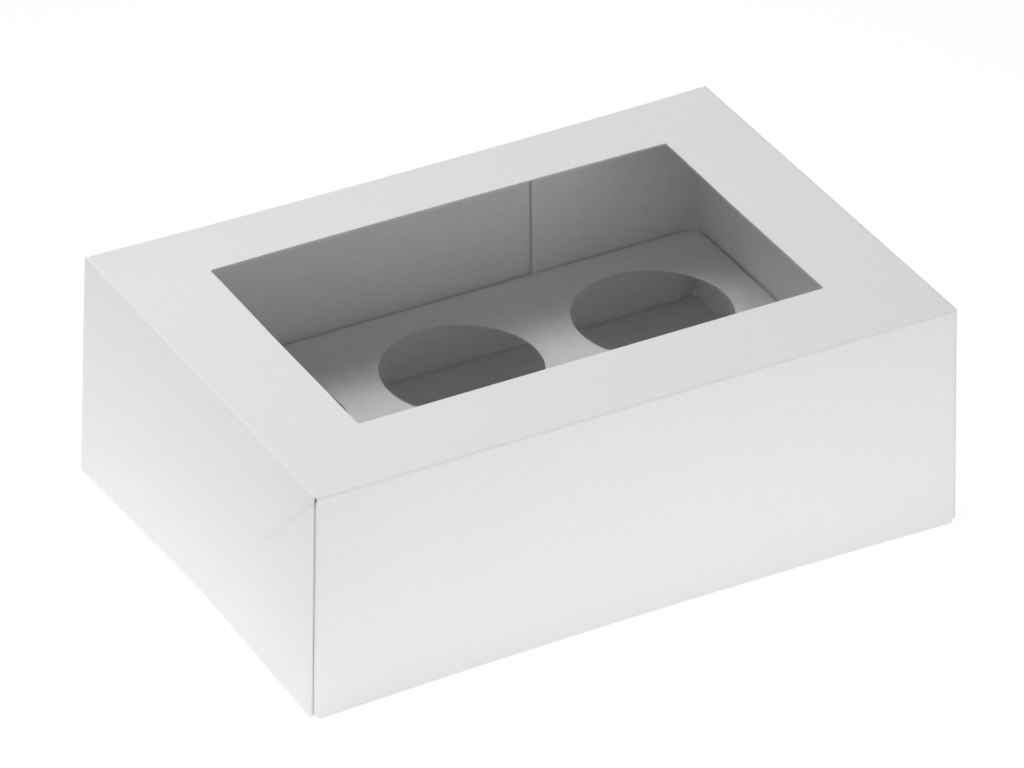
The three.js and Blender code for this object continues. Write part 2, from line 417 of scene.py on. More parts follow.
@dataclass(frozen=True)
class Carton:
    """The sizes that the sheets of the box share, in metres.

    Args:
        length: Over the lid's top folds.
        depth: From the lid's front fold to the outside of the back wall.
        board: Thickness of the board.
        fold: Outside radius of a fold.
        fold_steps: Facets round a fold.
        tip: Radius of a rounded tip.
        tip_steps: Facets round a tip.
        glue: Line of glue between two boards.
        window_length: The window along X.
        window_depth: The window along Y.
        window_front: The front fold to the window.
        strip: How far in front of the back edge the top begins to bend.
        bend: How long that bend is.
        tip_back: Slope of the strip behind the window.
        rise: How far the board stands up at the window's back edge.
        rise_reach: How far in front of the strip that rise begins.
        step: Spacing of the cuts that let a panel bow.
    """

    length: float = 240 * MM
    depth: float = 165 * MM
    board: float = 0.5 * MM
    fold: float = 1.1 * MM
    fold_steps: int = 8
    tip: float = 1.5 * MM
    tip_steps: int = 4
    glue: float = 0.03 * MM
    step: float = 6 * MM
    window_length: float = 175 * MM
    window_depth: float = 104.5 * MM
    window_front: float = 32 * MM
    strip: float = 33 * MM
    bend: float = 12 * MM
    tip_back: float = 0.082
    rise: float = 1.1 * MM
    rise_reach: float = 50 * MM

    @property
    def half(self) -> float:
        """Half of the box's length."""
        return self.length / 2

    @property
    def top(self) -> float:
        """Height of the lid's top."""
        return CAD_BOX[1][2]

    @property
    def back(self) -> float:
        """Place of the back wall's outer face, which the hinge line lies on."""
        return frame["joints"][0]["pos_m"][1]

    @property
    def front(self) -> float:
        """Place of the lid's front fold."""
        return self.back - self.depth

    def sag(self, place: Vector) -> float:
        """How far the top sags: the strip behind the window tips back, most in its middle.

        Args:
            place: A point of the box.

        Returns:
            The sag at that point, below zero where the top stands up.
        """
        middle = max(0.0, 1 - abs(place.x / self.half) ** 3)
        behind = place.y - (self.back - self.strip)
        bend = min(max(behind / self.bend, 0.0), 1.0)
        rise = min(max(1 + behind / self.rise_reach, 0.0), 1.0)
        tipped = self.tip_back * (bend * bend * self.bend / 2 + max(behind - self.bend, 0.0))
        return middle * (tipped - self.rise * rise * rise * (3 - 2 * rise))


CARTON = Carton()


@dataclass
class Sheet:
    """A sheet of board, drawn as its outer face and folded border by border.

    Args:
        carton: The sizes that the sheets share.
        mesh: The sheet so far.
    """

    carton: Carton = CARTON
    mesh: bmesh.types.BMesh = field(default_factory=bmesh.new)

    def lay(self, low: Vector, high: Vector, face_down: bool = False) -> None:
        """Lays the first panel flat.

        Args:
            low: Its front left corner.
            high: Its back right corner.
            face_down: True if its outer face looks down.
        """
        bmesh.ops.create_grid(self.mesh, x_segments=1, y_segments=1, size=0.5)
        verts = self.mesh.verts[:]
        bmesh.ops.scale(self.mesh, vec=(high.x - low.x, high.y - low.y, 1), verts=verts)
        bmesh.ops.translate(self.mesh, vec=(low + high) / 2, verts=verts)
        if face_down:
            bmesh.ops.reverse_faces(self.mesh, faces=self.mesh.faces[:])

    def cut(self, normal: Vector, places: list[float], faces: list[BMFace] | None = None) -> None:
        """Cuts across the sheet without parting it.

        Args:
            normal: The direction across the cuts.
            places: How far each cut lies along it.
            faces: The faces to cut, or None for all.
        """
        for place in places:
            parted = bmesh.ops.bisect_plane(
                self.mesh,
                geom=self.around(faces),
                dist=NEAR_ENOUGH,
                plane_co=normal * place,
                plane_no=normal,
            )
            if faces is not None:
                faces = [part for part in parted["geom"] if isinstance(part, BMFace)]

    def around(self, faces: list[BMFace] | None) -> list:
        """Gives faces with their edges and corners.

        Args:
            faces: The faces, or None for the whole sheet.

        Returns:
            Faces, edges and corners.
        """
        if faces is None:
            return self.mesh.verts[:] + self.mesh.edges[:] + self.mesh.faces[:]
        kept = [face for face in faces if face.is_valid]
        edges = {edge for face in kept for edge in face.edges}
        verts = {vert for face in kept for vert in face.verts}
        return [*verts, *edges, *kept]

    def inside(self, low: Vector, high: Vector) -> list[BMFace]:
        """Finds the faces whose middle lies in a box.

        Args:
            low: The box's lowest corner.
            high: The box's highest corner.

        Returns:
            The faces.
        """
        room = Vector((ROOM, ROOM, ROOM))
        return [
            face
            for face in self.mesh.faces
            if all(
                a <= c <= b
                for a, c, b in zip(low - room, face.calc_center_median(), high + room)
            )
        ]

    def border(self, low: Vector, high: Vector) -> list[BMEdge]:
        """Finds the border edges that lie in a box.

        Args:
            low: The box's lowest corner.
            high: The box's highest corner.

        Returns:
            The edges.
        """
        room = Vector((ROOM, ROOM, ROOM))
        return [
            edge
            for edge in self.mesh.edges
            if edge.is_boundary
            and all(
                a <= c <= b
                for vert in edge.verts
                for a, c, b in zip(low - room, vert.co, high + room)
            )
        ]

    def fold(
        self, border: list[BMEdge], normal: Vector, outward: Vector, reach: float
    ) -> list[BMEdge]:
        """Turns a border a quarter round a fold and draws the next panel out of it.

        Args:
            border: The edges to fold at.
            normal: Which way the panel's outer face looks.
            outward: Which way the border looks.
            reach: How far the next panel reaches past the fold.

        Returns:
            The next panel's far border.
        """
        verts = {vert for edge in border for vert in edge.verts}
        centre = border[0].verts[0].co - normal * self.carton.fold
        turned = bmesh.ops.spin(
            self.mesh,
            geom=[*verts, *border],
            cent=centre,
            axis=normal.cross(outward),
            angle=math.pi / 2,
            steps=self.carton.fold_steps,
            use_duplicate=False,
        )
        edges = [part for part in turned["geom_last"] if isinstance(part, BMEdge)]
        drawn = bmesh.ops.extrude_edge_only(self.mesh, edges=edges)
        fresh = {part for part in drawn["geom"] if isinstance(part, BMVert)}
        bmesh.ops.translate(self.mesh, verts=[*fresh], vec=-normal * reach)
        return [
            part
            for part in drawn["geom"]
            if isinstance(part, BMEdge) and all(vert in fresh for vert in part.verts)
        ]

    def round_tips(self) -> None:
        """Rounds the free tips of flaps and tabs."""
        tips = [vert for vert in self.mesh.verts if len(vert.link_faces) == 1]
        bmesh.ops.bevel(
            self.mesh,
            geom=tips,
            offset=self.carton.tip,
            offset_type="OFFSET",
            segments=self.carton.tip_steps,
            profile=0.5,
            affect="VERTICES",
            material=-1,
        )

    def grid(self) -> None:
        """Cuts the sheet into a grid that can bow."""
        c = self.carton
        for axis, reach in ((RIGHT, c.half), (BACK, c.depth / 2), (UP, c.top)):
            count = int(reach / c.step)
            self.cut(axis, [c.step * i for i in range(-count, count + 1)])

    def finish(
        self, name: str, body: str, node: str, slot: str, outer: Finish, inner: Finish
    ) -> bpy.types.Object:
        """Gives the sheet its thickness and its finishes, and puts it on its body.

        Args:
            name: The piece's name.
            body: The body that it rides on.
            node: The frame's node that it stands for.
            slot: The record's material slot; not used.
            outer: Finish of the outer face.
            inner: Finish of the inner face.

        Returns:
            The finished piece.
        """
        bmesh.ops.remove_doubles(self.mesh, verts=self.mesh.verts[:], dist=MERGE)
        for edge in self.mesh.edges:
            edge.smooth = not edge.is_boundary
        piece = self.placed(name, (outer, inner, Finish.EDGE))
        solid = piece.modifiers.new("board", "SOLIDIFY")
        solid.thickness = self.carton.board
        solid.offset = -1
        solid.use_even_offset = True
        solid.material_offset = 1
        solid.material_offset_rim = 2
        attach(piece, body)
        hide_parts(node)
        return piece

    def placed(self, name: str, finishes: tuple[Finish, ...]) -> bpy.types.Object:
        """Turns the sheet into an object of the scene.

        Args:
            name: The piece's name.
            finishes: Its finishes.

        Returns:
            The object.
        """
        data = bpy.data.meshes.new(name)
        self.mesh.to_mesh(data)
        self.mesh.free()
        for polygon in data.polygons:
            polygon.use_smooth = True
        for finish in finishes:
            data.materials.append(finish.material())
        piece = bpy.data.objects.new(name, data)
        bpy.context.scene.collection.objects.link(piece)
        log.info("%s: %d faces", name, len(data.polygons))
        return piece


@dataclass
class Lid(Sheet):
    """The lid: a top panel with a window, a front flap with end tabs, and two creased side flaps.

    Args:
        front_lean: How far the front flap's hem stands out at the corners.
        side_lean_front: How far a side flap's hem stands out at the front corner.
        side_lean_crease: The same at the foot of the slanting crease.
        side_lean_back: The same at the back corner.
        hem: Height of the hem.
        crease_run: From the front fold back to the foot of the slanting crease.
        crease_hem: Height of the hem at the foot of the crease.
        crease_half: Half the width of the crease's groove.
        crease_depth: Depth of the groove.
        back_gap: A side flap's back edge to the plane of the back wall.
        tab_reach: Length of an end tab past its fold.
        tab_margin: Its slanting edge to the crease.
        tab_top: Its upper end to the top.
        tab_foot: Its lower end to the hem.
        tab_room: How far from a tab's plane its faces are looked for.
        corner_share: How far the front fold reaches over its tabs' folds, as a share of a fold.
        edge_spring: How far a side flap's front edge stands off the tab behind it.
        edge_spring_reach: How much of the flap bends for it.
        crease_soft: How far the flap rounds over its slanting crease.
        crease_lines: The cuts along a crease, counted from its middle in halves of its width.
        window_corner: Radius of the window's corners.
        corner_turns: Directions of the short cuts that round a corner of the window.
    """

    front_lean: float = 2.4 * MM
    side_lean_front: float = 2.3 * MM
    side_lean_crease: float = 0.2 * MM
    side_lean_back: float = 3.2 * MM
    hem: float = 1 * MM
    crease_run: float = 80 * MM
    crease_hem: float = 2 * MM
    crease_half: float = 0.55 * MM
    crease_depth: float = 0.42 * MM
    back_gap: float = 0.4 * MM
    tab_reach: float = 58 * MM
    tab_margin: float = 1.5 * MM
    tab_top: float = 1.7 * MM
    tab_foot: float = 1.5 * MM
    tab_room: float = 0.1 * MM
    corner_share: float = 0.8
    edge_spring: float = 0.12 * MM
    edge_spring_reach: float = 9 * MM
    crease_soft: float = 0.12 * MM
    crease_lines: tuple[int, ...] = (-2, -1, 0, 1, 2)
    window_corner: float = 0.8 * MM
    corner_turns: tuple[float, ...] = (math.radians(22.5), math.radians(45), math.radians(67.5))

    @property
    def crease_slope(self) -> Vector:
        """Direction across the left crease, in the plane of the side flap."""
        run = Vector((0, self.crease_run, self.crease_hem - self.carton.top))
        return RIGHT.cross(run).normalized()

    def build(self) -> bpy.types.Object:
        """Cuts and folds the lid.

        Returns:
            The finished piece.
        """
        c = self.carton
        edge = c.half - c.fold
        near = c.front + c.fold
        far = c.back - self.back_gap
        self.lay(Vector((-edge, near, c.top)), Vector((edge, far, c.top)))
        self.cut_window()
        self.fold_sides(edge, near, far)
        self.fold_front(edge - c.board - c.glue, near)
        self.open_back(edge)
        self.round_tips()
        self.cut_crease()
        self.grid()
        self.bow()
        return self.finish(
            "lid_board", "lid", "lid", "coated_board", Finish.COATED, Finish.REVERSE
        )

    def cut_window(self) -> None:
        """Cuts the window out of the top panel, with its corners rounded by short cuts."""
        c = self.carton
        half = c.window_length / 2
        near = c.front + c.window_front
        far = near + c.window_depth
        low, high = Vector((-half, near, 0)), Vector((half, far, FAR))
        middle = (low + high) / 2
        self.cut(RIGHT, [-half, half])
        self.cut(BACK, [near, far])
        radius = self.window_corner
        for x in (-1, 1):
            for y in (-1, 1):
                in_x, in_y = half - radius, c.window_depth / 2 - radius
                centre = middle + Vector((x * in_x, y * in_y, 0))
                for turn in self.corner_turns:
                    across = Vector((x * math.cos(turn), y * math.sin(turn), 0))
                    self.cut(across, [centre.dot(across) + radius], self.inside(low, high))
        pane = max(self.inside(low, high), key=lambda face: face.calc_area())
        bmesh.ops.delete(self.mesh, geom=[pane], context="FACES")

    def fold_sides(self, edge: float, near: float, far: float) -> None:
        """Folds the side flaps down.

        Args:
            edge: Half the length of the top panel's flat part.
            near: Its front border.
            far: Its back border.
        """
        c = self.carton
        for side in (-1, 1):
            x = side * edge
            border = self.border(Vector((x, near, c.top)), Vector((x, far, c.top)))
            self.fold(border, UP, RIGHT * side, c.top - c.fold - self.hem)

    def fold_front(self, end: float, near: float) -> None:
        """Folds the front flap down and its tabs round the corners.

        Args:
            end: Half the length of the flap between its tabs' folds.
            near: The top panel's front border.
        """
        c = self.carton
        top = self.inside(Vector((-FAR, -FAR, c.top)), Vector((FAR, FAR, c.top)))
        self.cut(RIGHT, [-end, end], top)
        border = self.border(Vector((-end, near, c.top)), Vector((end, near, c.top)))
        self.fold(border, UP, -BACK, c.top - c.fold - self.hem)
        high = c.top - self.tab_top
        low = self.hem + self.tab_foot
        flap = self.inside(Vector((-FAR, -FAR, 0)), Vector((FAR, c.front, FAR)))
        self.cut(UP, [low, high], flap)
        for side in (-1, 1):
            x = side * end
            rounded = self.border(Vector((x, c.front, high)), Vector((x, near, c.top)))
            drawn = bmesh.ops.extrude_edge_only(self.mesh, edges=rounded)
            verts = [part for part in drawn["geom"] if isinstance(part, BMVert)]
            step = RIGHT * side * c.fold * self.corner_share
            bmesh.ops.translate(self.mesh, verts=verts, vec=step)
            border = self.border(Vector((x, c.front, low)), Vector((x, c.front, high)))
            self.fold(border, -BACK, RIGHT * side, self.tab_reach)
            self.trim_tab(side)

    def trim_tab(self, side: int) -> None:
        """Cuts a tab's upper edge parallel to the slanting crease.

        Args:
            side: -1 for the left tab, 1 for the right.
        """
        c = self.carton
        x = side * (c.half - c.board - c.glue)
        room = self.tab_room
        tab = self.inside(
            Vector((x - room, c.front + c.fold + room, 0)),
            Vector((x + room, c.back, c.top - c.fold - room)),
        )
        across = self.crease_slope
        corner = Vector((x, c.front, c.top)) - across * self.tab_margin * self.lower_side
        bmesh.ops.bisect_plane(
            self.mesh,
            geom=self.around(tab),
            dist=NEAR_ENOUGH,
            plane_co=corner,
            plane_no=across * self.lower_side,
            clear_outer=True,
        )

    @property
    def lower_side(self) -> int:
        """The sign that turns the direction across the crease up and back."""
        return 1 if self.crease_slope.z > 0 else -1

    def open_back(self, edge: float) -> None:
        """Takes away the back strip of the top panel, where the hinge fold lies.

        Args:
            edge: Half the length of the top panel's flat part.
        """
        c = self.carton
        top = self.inside(Vector((-edge, -FAR, c.top)), Vector((edge, FAR, c.top)))
        self.cut(BACK, [c.back - c.fold], top)
        strip = self.inside(Vector((-edge, c.back - c.fold, c.top)), Vector((edge, FAR, c.top)))
        bmesh.ops.delete(self.mesh, geom=strip, context="FACES")

    def cut_crease(self) -> None:
        """Cuts the lines of the slanting crease into the side flaps."""
        c = self.carton
        middle = Vector((0, c.front, c.top)).dot(self.crease_slope)
        for side in (-1, 1):
            x = side * c.half
            for line in self.crease_lines:
                flap = self.inside(Vector((x, -FAR, 0)), Vector((x, FAR, c.top - c.fold)))
                self.cut(self.crease_slope, [middle + line * self.crease_half], flap)

    def bow(self) -> None:
        """Lets the flaps lean, presses the creases in and bows the panels a little."""
        for vert in self.mesh.verts:
            vert.co = self.leaning(vert.co)

    def leaning(self, place: Vector) -> Vector:
        """Works out where a point of the straight lid lies on the real one.

        Args:
            place: The point.

        Returns:
            Its place.
        """
        c = self.carton
        drop = (c.top - place.z) / (c.top - self.hem)
        back = place.y - c.front
        across = abs(place.x) / c.half
        along = back / self.crease_run
        front = self.side_lean_front * (drop - along) + self.side_lean_crease * along
        slope = (self.side_lean_back - self.side_lean_crease) / (c.depth - self.crease_run)
        middle = slope * back + (self.side_lean_crease - slope * self.crease_run) * drop
        rear = self.side_lean_back * drop
        flat = min(middle, rear)
        out = (front + flat + math.hypot(front - flat, self.crease_soft * drop)) / 2
        if abs(place.x) > c.half - c.board / 2 and place.z < c.top - c.fold:
            distance = (place - Vector((place.x, c.front, c.top))).dot(self.crease_slope)
            out -= self.crease_depth * math.exp(-((distance / self.crease_half) ** 2) * 2)
            near_edge = max(0.0, 1 - (back - c.fold) / self.edge_spring_reach)
            out += self.edge_spring * near_edge**2
        x = place.x + math.copysign(out * across, place.x)
        fade = max(0.0, 1 - along)
        y = place.y - self.front_lean * drop * fade * across**2
        return Vector((x, y, place.z - c.sag(place) * place.z / c.top))


@dataclass
class Tray(Sheet):
    """The base carton: a floor, four walls, and tabs from the side walls glued to front and back.

    Args:
        clearance: The lid's inner faces to the tray.
        rim_gap: The lid's top panel to the rim.
        tab_reach: Length of a tab past its fold.
        tab_foot: Lower edge of a tab above the surface.
        tab_drop: Upper edge of a tab below the rim.
        slant: How much longer a tab is at its top than at its foot.
        spring: How far a tab's end stands off the wall.
        spring_share: The share of the tab that bends for it.
    """

    clearance: float = 0.6 * MM
    rim_gap: float = 1.2 * MM
    tab_reach: float = 65.4 * MM
    tab_foot: float = 1.1 * MM
    tab_drop: float = 2.2 * MM
    slant: float = 2.2 * MM
    spring: float = 0.6 * MM
    spring_share: float = 0.4

    @property
    def half(self) -> float:
        """Half of the tray's length."""
        return self.carton.half - 2 * self.carton.board - self.clearance

    @property
    def front(self) -> float:
        """Place of the front wall's outer face."""
        return self.carton.front + self.carton.board + self.clearance

    @property
    def rim(self) -> float:
        """Height of the rim."""
        return self.carton.top - self.carton.board - self.rim_gap

    def build(self) -> bpy.types.Object:
        """Cuts and folds the tray.

        Returns:
            The finished piece.
        """
        c = self.carton
        edge = self.half - c.fold
        near = self.front + c.fold
        far = c.back - c.fold
        lap = c.board + c.glue
        self.lay(Vector((-edge, near, 0)), Vector((edge, far, 0)), face_down=True)
        self.cut(BACK, [near + lap, far - lap])
        for side in (-1, 1):
            x = side * edge
            border = self.border(Vector((x, near + lap, 0)), Vector((x, far - lap, 0)))
            self.fold(border, -UP, RIGHT * side, self.rim - c.fold)
        self.fold_tabs(near + lap, far - lap)
        self.fold_end(-BACK, near, self.rim)
        self.fold_end(BACK, far, c.top - c.fold)
        self.round_tips()
        self.grid()
        self.settle()
        return self.finish(
            "tray_board", "carton", "tray", "coated_board", Finish.COATED, Finish.REVERSE
        )

    def fold_tabs(self, near: float, far: float) -> None:
        """Folds the corner tabs inwards from the side walls.

        Args:
            near: The side walls' front borders.
            far: Their back borders.
        """
        low, high = self.tab_foot, self.rim - self.tab_drop
        self.cut(UP, [low, high])
        for side in (-1, 1):
            for place, outward in ((near, -BACK), (far, BACK)):
                x = side * self.half
                border = self.border(Vector((x, place, low)), Vector((x, place, high)))
                end = self.fold(border, RIGHT * side, outward, self.tab_reach)
                upper = {vert for edge in end for vert in edge.verts if vert.co.z > high - ROOM}
                bmesh.ops.translate(self.mesh, verts=[*upper], vec=RIGHT * -side * self.slant)

    def fold_end(self, outward: Vector, place: float, top: float) -> None:
        """Folds the front or back wall up, and widens it to cover the side walls' folds.

        Args:
            outward: Which way the wall looks.
            place: The floor's border.
            top: Height of the wall's top edge.
        """
        c = self.carton
        edge = self.half - c.fold
        border = self.border(Vector((-edge, place, 0)), Vector((edge, place, 0)))
        self.fold(border, -UP, outward, top - c.fold)
        y = place + outward.y * c.fold
        for side in (-1, 1):
            low = Vector((side * edge, min(y, place), 0))
            high = Vector((side * edge, max(y, place), top))
            end = self.border(low, high)
            drawn = bmesh.ops.extrude_edge_only(self.mesh, edges=end)
            verts = [part for part in drawn["geom"] if isinstance(part, BMVert)]
            bmesh.ops.translate(self.mesh, verts=verts, vec=RIGHT * side * c.fold)

    def settle(self) -> None:
        """Lets the back wall's top edge sag with the lid and the tabs' ends spring inwards."""
        c = self.carton
        lap = c.board + c.glue
        for vert in self.mesh.verts:
            place = vert.co
            if place.y > c.back - ROOM:
                place.z -= c.sag(place) * place.z / c.top
            inwards = self.half - abs(place.x) - self.tab_reach * (1 - self.spring_share)
            if place.z < self.tab_foot or not 0 < inwards < self.tab_reach:
                continue
            spring = self.spring * (inwards / (self.tab_reach * self.spring_share)) ** 2
            for wall, turn in ((self.front + lap, 1), (c.back - lap, -1)):
                if abs(place.y - wall) < ROOM:
                    place.y += turn * spring


@dataclass
class Insert(Sheet):
    """The insert: a deck with a hole for each cake, on flanges folded down at its four edges.

    Args:
        height: Height of the deck.
        half: Half of the insert's length.
        front: Outer face of the front flange.
        back: Outer face of the back flange.
        foot: Lower edge of the flanges.
        hole: Radius of a hole.
        pitch_x: Hole to hole along X.
        pitch_y: Hole to hole along Y.
        notch: A flange's ends to the corners of the insert.
        side_steps: Facets along a side of a hole's square of board.
        columns: Where the holes' columns lie, in steps of the pitch.
        rows: Where their rows lie.
    """

    height: float = 29 * MM
    half: float = 117.1 * MM
    front: float = -78.4 * MM
    back: float = 81.9 * MM
    foot: float = 0.8 * MM
    hole: float = 28.5 * MM
    pitch_x: float = 75 * MM
    pitch_y: float = 76 * MM
    notch: float = 5 * MM
    side_steps: int = 16
    columns: tuple[float, ...] = (-1, 0, 1)
    rows: tuple[float, ...] = (-0.5, 0.5)

    def build(self) -> bpy.types.Object:
        """Cuts and folds the insert.

        Returns:
            The finished piece.
        """
        c = self.carton
        middle = (self.front + self.back) / 2
        for column in self.columns:
            for row in self.rows:
                x, y = column * self.pitch_x, middle + row * self.pitch_y
                self.punch(Vector((x, y, self.height)))
        bmesh.ops.remove_doubles(self.mesh, verts=self.mesh.verts[:], dist=MERGE)
        bmesh.ops.recalc_face_normals(self.mesh, faces=self.mesh.faces[:])
        if self.mesh.faces[:][0].normal.z < 0:
            bmesh.ops.reverse_faces(self.mesh, faces=self.mesh.faces[:])
        half = len(self.columns) * self.pitch_x / 2
        start, end = (middle + side * len(self.rows) * self.pitch_y / 2 for side in (-1, 1))
        edge, near, far = self.half - c.fold, self.front + c.fold, self.back - c.fold
        self.widen(Vector((-half, start, 0)), Vector((half, start, FAR)), BACK * (near - start))
        self.widen(Vector((-half, end, 0)), Vector((half, end, FAR)), BACK * (far - end))
        for side in (-1, 1):
            x = side * half
            step = RIGHT * side * (edge - half)
            self.widen(Vector((x, near, 0)), Vector((x, far, FAR)), step)
        drop = self.height - c.fold - self.foot
        end = self.half - self.notch
        self.cut(RIGHT, [-end, end])
        self.cut(BACK, [self.front + self.notch, self.back - self.notch])
        flat = self.height
        for outward, place in ((-BACK, near), (BACK, far)):
            border = self.border(Vector((-end, place, flat)), Vector((end, place, flat)))
            self.fold(border, UP, outward, drop)
        low, high = self.front + self.notch, self.back - self.notch
        for side in (-1, 1):
            x = side * edge
            border = self.border(Vector((x, low, flat)), Vector((x, high, flat)))
            self.fold(border, UP, RIGHT * side, drop)
        self.round_tips()
        return self.finish(
            "insert_card", "carton", "insert", "insert_card", Finish.CARD, Finish.CARD
        )

    def punch(self, centre: Vector) -> None:
        """Lays a hole's square of board round it.

        Args:
            centre: The hole's middle.
        """
        place = Matrix.Translation(centre)
        size = Matrix.Diagonal((self.pitch_x, self.pitch_y, 1, 1))
        turn = Matrix.Rotation(math.pi / 4, 4, "Z")
        facets = 4 * self.side_steps
        bmesh.ops.create_circle(
            self.mesh, cap_ends=False, radius=self.hole, segments=facets, matrix=place
        )
        square = bmesh.ops.create_circle(
            self.mesh, cap_ends=False, radius=math.sqrt(0.5), segments=4, matrix=place @ size @ turn
        )
        sides = {edge for vert in square["verts"] for edge in vert.link_edges}
        bmesh.ops.subdivide_edges(self.mesh, edges=[*sides], cuts=self.side_steps - 1)
        loose = [edge for edge in self.mesh.edges if not edge.link_faces]
        bmesh.ops.bridge_loops(self.mesh, edges=loose)

    def widen(self, low: Vector, high: Vector, step: Vector) -> None:
        """Draws the deck's border outwards.

        Args:
            low: Lowest corner of the box that holds the border.
            high: Its highest corner.
            step: How far the border moves.
        """
        drawn = bmesh.ops.extrude_edge_only(self.mesh, edges=self.border(low, high))
        verts = [part for part in drawn["geom"] if isinstance(part, BMVert)]
        bmesh.ops.translate(self.mesh, verts=verts, vec=step)


@dataclass
class HingeFold(Sheet):
    """The fold that joins the lid to the back wall, built as it lies with the lid shut.

    Args:
        segments: Facets along the fold, which let it sag with the top.
    """

    segments: int = 40

    def build(self) -> bpy.types.Object:
        """Turns the fold and gives it the board's thickness.

        Returns:
            The finished piece.
        """
        c = self.carton
        bmesh.ops.create_grid(self.mesh, x_segments=self.segments, y_segments=1, size=0.5)
        verts = self.mesh.verts[:]
        bmesh.ops.scale(self.mesh, vec=(2 * (c.half - 2 * c.fold), 1, 1), verts=verts)
        bmesh.ops.delete(self.mesh, geom=self.mesh.faces[:], context="FACES_ONLY")
        spare = [vert for vert in self.mesh.verts if vert.co.y < 0]
        bmesh.ops.delete(self.mesh, geom=spare, context="VERTS")
        line = self.mesh.verts[:]
        start = line[0].co
        step = Vector((0, c.back - c.fold - start.y, c.top - start.z))
        bmesh.ops.translate(self.mesh, verts=line, vec=step)
        centre = Vector((0, c.back - c.fold, c.top - c.fold))
        bmesh.ops.spin(
            self.mesh,
            geom=self.mesh.verts[:] + self.mesh.edges[:],
            cent=centre,
            axis=UP.cross(BACK),
            angle=math.pi / 2,
            steps=c.fold_steps,
            use_duplicate=False,
        )
        bmesh.ops.recalc_face_normals(self.mesh, faces=self.mesh.faces[:])
        if sum(face.normal.z for face in self.mesh.faces) < 0:
            bmesh.ops.reverse_faces(self.mesh, faces=self.mesh.faces[:])
        for vert in self.mesh.verts:
            vert.co.z -= c.sag(vert.co)
        bmesh.ops.solidify(self.mesh, geom=self.mesh.faces[:], thickness=c.board)
        piece = self.placed("hinge_fold", (Finish.COATED,))
        start, end = (0, c.back, c.top - c.fold), (0, c.back - c.fold, c.top)
        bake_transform(piece)
        return piece


@dataclass
class Film(Sheet):
    """The clear film, glued behind the window and bowed with the top.

    Args:
        thickness: The film's thickness.
        gap: The film to the inside of the top panel.
        lap: How far it laps the window all round.
    """

    thickness: float = 0.15 * MM
    gap: float = 0.05 * MM
    lap: float = 9 * MM

    def build(self) -> bpy.types.Object:
        """Lays the film and bows it.

        Returns:
            The finished piece.
        """
        c = self.carton
        half = c.window_length / 2 + self.lap
        near = c.front + c.window_front - self.lap
        far = near + c.window_depth + 2 * self.lap
        high = c.top - c.board - self.gap
        self.lay(Vector((-half, near, high)), Vector((half, far, high)))
        self.grid()
        for vert in self.mesh.verts:
            vert.co.z -= c.sag(vert.co)
        bmesh.ops.solidify(self.mesh, geom=self.mesh.faces[:], thickness=self.thickness)
        bmesh.ops.recalc_face_normals(self.mesh, faces=self.mesh.faces[:])
        piece = self.placed("window_film", (Finish.FILM,))
        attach(piece, "lid")
        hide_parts("window_film")
        return piece


@dataclass(frozen=True)
class Lamp:
    """A soft square lamp that looks at the box.

    Args:
        name: The lamp's name.
        place: Where it hangs.
        size: Width of its face.
        power: Its power in watts.
        aim: The point it looks at.
    """

    name: str
    place: Vector
    size: float
    power: float
    aim: Vector = Vector((0, 0, 0.04))

    def hang(self) -> None:
        """Hangs the lamp."""
        data = bpy.data.lights.new(self.name, "AREA")
        data.shape = "SQUARE"
        data.size = self.size
        data.energy = self.power
        lamp = bpy.data.objects.new(self.name, data)
        bpy.context.scene.collection.objects.link(lamp)
        lamp.location = self.place
        lamp.rotation_euler = (self.aim - self.place).to_track_quat("-Z", "Y").to_euler()


